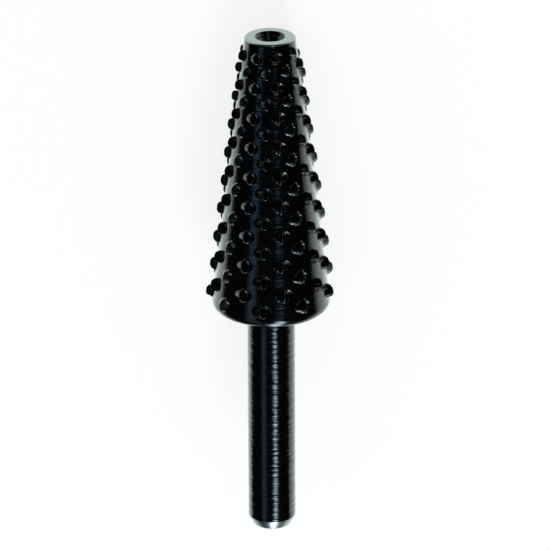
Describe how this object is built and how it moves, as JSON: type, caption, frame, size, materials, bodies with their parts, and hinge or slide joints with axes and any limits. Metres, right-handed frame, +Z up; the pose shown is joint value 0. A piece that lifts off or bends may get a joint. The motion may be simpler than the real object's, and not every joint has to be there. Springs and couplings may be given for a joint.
{
  "type": "rotary rasp",
  "caption": "Conical rotary rasp for a power drill: a black steel cone with punched teeth set in a helix, on a plain round shank.",
  "frame": {"origin": "on the surface that the rasp lies on, under the middle of its bounding box", "axes": "+Z up from the surface; +Y along the rasp towards its small end, which lies lower than the shank's end; +X to the right, seen from above with the small end ahead"},
  "size_m": [0.017, 0.07, 0.0169],
  "materials": {
    "blackened_steel": "black oxide over turned and punched steel, oiled, glossy"
  },
  "bodies": {
    "root": {"rotary_rasp": "blackened_steel"}
  },
  "joints": []
}
